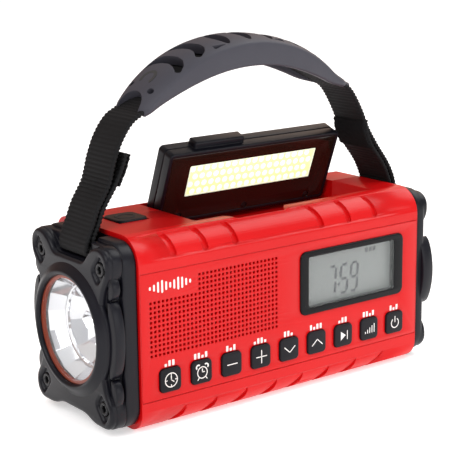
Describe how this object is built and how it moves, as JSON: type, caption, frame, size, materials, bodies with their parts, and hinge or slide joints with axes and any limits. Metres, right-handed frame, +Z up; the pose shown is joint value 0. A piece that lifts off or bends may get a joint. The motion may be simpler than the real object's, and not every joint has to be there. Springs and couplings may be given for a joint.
{
  "type": "emergency radio",
  "caption": "Portable emergency radio: wide body with speaker grille, display and key row, an end lamp, a hinged light flap, webbing handle, crank and folding antenna.",
  "frame": {"origin": "on the floor under the middle of the body", "axes": "+X along the body away from the lamp, +Y from the front panel to the back, +Z up"},
  "size_m": [0.1688, 0.0616, 0.146],
  "materials": {
    "antenna_chrome": "polished",
    "black_plastic": "satin",
    "black_steel": "black oxide",
    "board_green": "solder mask",
    "button_black": "satin with printed icons",
    "cell_wrap": "wrapped can",
    "cone_paper": "pressed paper",
    "display_black": "glossy",
    "display_clear": "clear",
    "display_grey": "flat",
    "flap_gloss": "glossy",
    "grip_rubber": "matt",
    "lamp_clear": "clear",
    "led_yellow": "glossy",
    "light_diffuser": "glowing",
    "nylon": "plain",
    "red_shell": "glossy, clear-coated look",
    "reflector_chrome": "mirror, faceted",
    "ring_brown": "satin",
    "rubber_black": "matt",
    "solar_dark": "smooth",
    "steel": "plated",
    "webbing_black": "ribbed webbing"
  },
  "bodies": {
    "case": {"front_shell": "red_shell", "rear_shell": "red_shell", "front_panel": "red_shell", "display_bezel": "display_black", "display_window": "display_clear", "display_module": "display_grey", "main_board": "board_green", "key_switches": "black_plastic", "speaker_frame": "black_steel", "speaker_cone": "cone_paper", "speaker_magnet": "steel", "battery_cells": "cell_wrap", "battery_holder": "black_plastic", "ports": "steel", "gear_plate": "black_plastic", "generator": "steel", "hinge_pins": "steel", "left_cap": "black_plastic", "right_cap": "black_plastic", "cap_screws": "black_steel", "lamp_bezel": "black_plastic", "lamp_gasket": "ring_brown", "lamp_lens": "lamp_clear", "reflector": "reflector_chrome", "lamp_led": "led_yellow", "strap_loops": "webbing_black", "strap_bars": "steel", "antenna_pin": "steel", "rear_screws": "black_steel"},
    "button_time": {"button_time": "button_black"},
    "button_alarm": {"button_alarm": "button_black"},
    "button_volume_down": {"button_volume_down": "button_black"},
    "button_volume_up": {"button_volume_up": "button_black"},
    "button_tune_down": {"button_tune_down": "button_black"},
    "button_tune_up": {"button_tune_up": "button_black"},
    "button_scan": {"button_scan": "button_black"},
    "button_band": {"button_band": "button_black"},
    "button_power": {"button_power": "button_black"},
    "button_lamp": {"button_lamp": "button_black"},
    "flap": {"flap_frame": "black_plastic", "flap_face": "flap_gloss", "light_window": "light_diffuser", "light_board": "led_yellow", "solar_cell": "solar_dark", "flap_screws": "black_steel"},
    "handle": {"handle_webbing": "webbing_black", "handle_tails": "webbing_black", "handle_grip": "grip_rubber"},
    "crank": {"crank_arm": "black_plastic", "crank_shaft": "steel", "drive_gear": "nylon"},
    "knob_spindle": {"knob_spindle": "steel"},
    "knob": {"crank_knob": "black_plastic"},
    "idler": {"idler_gear": "nylon"},
    "pinion": {"generator_pinion": "nylon"},
    "port_cover": {"port_cover": "rubber_black"},
    "antenna": {"antenna_knuckle": "antenna_chrome", "antenna_tube": "antenna_chrome"},
    "antenna_middle": {"antenna_middle": "antenna_chrome"},
    "antenna_end": {"antenna_end": "antenna_chrome"}
  },
  "joints": [
    {"name": "button_time_press", "type": "slide", "parent": "case", "child": "button_time", "axis": [0, 1, 0], "range_m": [0, 0.0007], "stiffness_N_per_m": 200, "springref_m": -0.0015},
    {"name": "button_alarm_press", "type": "slide", "parent": "case", "child": "button_alarm", "axis": [0, 1, 0], "range_m": [0, 0.0007], "stiffness_N_per_m": 200, "springref_m": -0.0015},
    {"name": "button_volume_down_press", "type": "slide", "parent": "case", "child": "button_volume_down", "axis": [0, 1, 0], "range_m": [0, 0.0007], "stiffness_N_per_m": 200, "springref_m": -0.0015},
    {"name": "button_volume_up_press", "type": "slide", "parent": "case", "child": "button_volume_up", "axis": [0, 1, 0], "range_m": [0, 0.0007], "stiffness_N_per_m": 200, "springref_m": -0.0015},
    {"name": "button_tune_down_press", "type": "slide", "parent": "case", "child": "button_tune_down", "axis": [0, 1, 0], "range_m": [0, 0.0007], "stiffness_N_per_m": 200, "springref_m": -0.0015},
    {"name": "button_tune_up_press", "type": "slide", "parent": "case", "child": "button_tune_up", "axis": [0, 1, 0], "range_m": [0, 0.0007], "stiffness_N_per_m": 200, "springref_m": -0.0015},
    {"name": "button_scan_press", "type": "slide", "parent": "case", "child": "button_scan", "axis": [0, 1, 0], "range_m": [0, 0.0007], "stiffness_N_per_m": 200, "springref_m": -0.0015},
    {"name": "button_band_press", "type": "slide", "parent": "case", "child": "button_band", "axis": [0, 1, 0], "range_m": [0, 0.0007], "stiffness_N_per_m": 200, "springref_m": -0.0015},
    {"name": "button_power_press", "type": "slide", "parent": "case", "child": "button_power", "axis": [0, 1, 0], "range_m": [0, 0.0007], "stiffness_N_per_m": 200, "springref_m": -0.0015},
    {"name": "button_lamp_press", "type": "slide", "parent": "case", "child": "button_lamp", "axis": [0, 0, -1], "range_m": [0, 0.0007], "stiffness_N_per_m": 200, "springref_m": -0.0015},
    {"name": "flap_hinge", "type": "hinge", "parent": "case", "child": "flap", "pos_m": [0.00965, 0.0166, 0.072], "axis": [-1, 0, 0], "range_deg": [-69.2, 20]},
    {"name": "handle_hinge", "type": "hinge", "parent": "case", "child": "handle", "pos_m": [0, 0, 0.084], "axis": [1, 0, 0], "range_deg": [-45, 45]},
    {"name": "crank_spin", "type": "hinge", "parent": "case", "child": "crank", "pos_m": [0.03, 0.02, 0.036], "axis": [0, 1, 0], "continuous": true},
    {"name": "idler_spin", "type": "hinge", "parent": "case", "child": "idler", "pos_m": [0.015, 0.014, 0.036], "axis": [0, 1, 0], "continuous": true},
    {"name": "pinion_spin", "type": "hinge", "parent": "case", "child": "pinion", "pos_m": [0, 0.012, 0.036], "axis": [0, 1, 0], "continuous": true},
    {"name": "knob_fold", "type": "hinge", "parent": "crank", "child": "knob_spindle", "pos_m": [0.03, 0.0262, 0.016], "axis": [-1, 0, 0], "range_deg": [0, 90]},
    {"name": "knob_spin", "type": "hinge", "parent": "knob_spindle", "child": "knob", "pos_m": [0.03, 0.0262, 0.025], "axis": [0, 0, 1], "continuous": true},
    {"name": "port_cover_hinge", "type": "hinge", "parent": "case", "child": "port_cover", "pos_m": [-0.05, 0.0283, 0.0312], "axis": [-1, 0, 0], "range_deg": [0, 85]},
    {"name": "antenna_tilt", "type": "hinge", "parent": "case", "child": "antenna", "pos_m": [-0.054, 0.0269, 0.0705], "axis": [0, -1, 0], "range_deg": [0, 90]},
    {"name": "antenna_middle_slide", "type": "slide", "parent": "antenna", "child": "antenna_middle", "axis": [1, 0, 0], "range_m": [0, 0.08]},
    {"name": "antenna_end_slide", "type": "slide", "parent": "antenna_middle", "child": "antenna_end", "axis": [1, 0, 0], "range_m": [0, 0.08]}
  ],
  "couplings": [
    {"joint": "idler_spin", "follows": "crank_spin", "ratio": -4},
    {"joint": "pinion_spin", "follows": "crank_spin", "ratio": 16}
  ]
}
